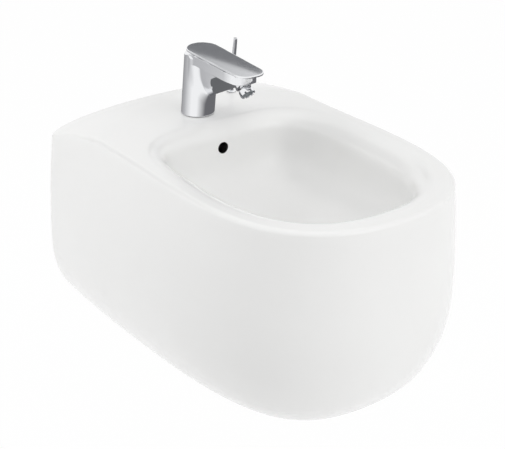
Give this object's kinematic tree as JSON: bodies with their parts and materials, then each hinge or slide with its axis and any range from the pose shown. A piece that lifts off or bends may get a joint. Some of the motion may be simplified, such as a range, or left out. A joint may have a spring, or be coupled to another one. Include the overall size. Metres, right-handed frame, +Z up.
{
  "type": "wall-hung bidet",
  "caption": "Wall-hung glazed ceramic bidet with a deck-mounted single-lever mixer, swivel aerator and lift-rod pop-up waste.",
  "frame": {"origin": "on the ceramic's wall face, midway between the two wall studs", "axes": "+Y out of the wall face and into the wall, -Y to the front of the bidet, +X to its right seen from the front, +Z up"},
  "size_m": [0.3946, 0.585, 0.4038],
  "materials": {
    "glaze": "glossy white",
    "chrome": "polished",
    "steel": "satin",
    "brass": "machined",
    "black_rubber": "matte",
    "grey_plastic": "matte",
    "white_plastic": "matte",
    "disc_ceramic": "ground"
  },
  "bodies": {
    "bidet": {"ceramic_body": "glaze", "stud_sleeve_right": "white_plastic", "stud_washer_right": "steel", "stud_nut_right": "steel", "wall_stud_right": "steel", "stud_sleeve_left": "white_plastic", "stud_washer_left": "steel", "stud_nut_left": "steel", "wall_stud_left": "steel", "mixer_body": "chrome", "base_gasket": "black_rubber", "cartridge_seal": "black_rubber", "fixed_disc": "disc_ceramic", "cartridge_housing": "grey_plastic", "cartridge_nut": "brass", "swivel_socket": "chrome", "tap_rubber_horseshoe": "black_rubber", "tap_steel_horseshoe": "steel", "tap_fixing_nut": "brass", "tap_fixing_stud": "steel", "hot_inlet_tail": "steel", "cold_inlet_tail": "steel", "deck_bush": "chrome", "flange_seal": "black_rubber", "waste_flange": "chrome", "waste_body": "brass", "waste_gasket": "black_rubber", "waste_nut": "brass", "ball_washer": "white_plastic", "ball_nut": "grey_plastic", "tailpiece": "chrome", "tailpiece_seal": "black_rubber", "tailpiece_nut": "brass"},
    "driver": {"cartridge_driver": "grey_plastic", "moving_disc": "disc_ceramic", "lever_pin": "steel"},
    "lever": {"lever_handle": "chrome", "lever_stem": "steel", "lever_screw": "steel"},
    "seat_ring": {"ball_seat": "grey_plastic"},
    "aerator": {"swivel_ball": "chrome", "aerator_housing": "chrome", "aerator_insert": "grey_plastic"},
    "lift": {"lift_rod": "chrome", "lift_strap": "steel", "strap_screw": "brass"},
    "pivot": {"pivot_rod": "steel"},
    "plug": {"plug": "chrome", "plug_seal": "black_rubber"}
  },
  "joints": [
    {"name": "lever_swing", "type": "hinge", "parent": "bidet", "child": "driver", "pos_m": [0, -0.11004, 0.1802], "axis": [0, -0.0469, 0.9989], "range_deg": [-45, 45]},
    {"name": "lever_lift", "type": "hinge", "parent": "driver", "child": "lever", "pos_m": [0, -0.1017, 0.17308], "axis": [-1, 0, 0], "range_deg": [0, 20]},
    {"name": "aerator_turn", "type": "hinge", "parent": "bidet", "child": "seat_ring", "pos_m": [0, -0.208, 0.158], "axis": [0, -0.7431, -0.6691], "range_deg": [-90, 90]},
    {"name": "aerator_tilt", "type": "hinge", "parent": "seat_ring", "child": "aerator", "pos_m": [0, -0.208, 0.158], "axis": [1, 0, 0], "range_deg": [-15, 15]},
    {"name": "rod_slide", "type": "slide", "parent": "bidet", "child": "lift", "axis": [0, -0.1357, 0.9907], "range_m": [0, 0.045]},
    {"name": "pivot_rock", "type": "hinge", "parent": "bidet", "child": "pivot", "pos_m": [0.00683, -0.27285, -0.105], "axis": [0.9698, -0.2439, 0], "range_deg": [0, 10.4]},
    {"name": "plug_slide", "type": "slide", "parent": "bidet", "child": "plug", "axis": [0, 0, 1], "range_m": [-0.0052, 0]}
  ],
  "couplings": [
    {"joint": "pivot_rock", "follows": "rod_slide", "rad_per_m": 4.017},
    {"joint": "plug_slide", "follows": "rod_slide", "ratio": -0.1133}
  ]
}
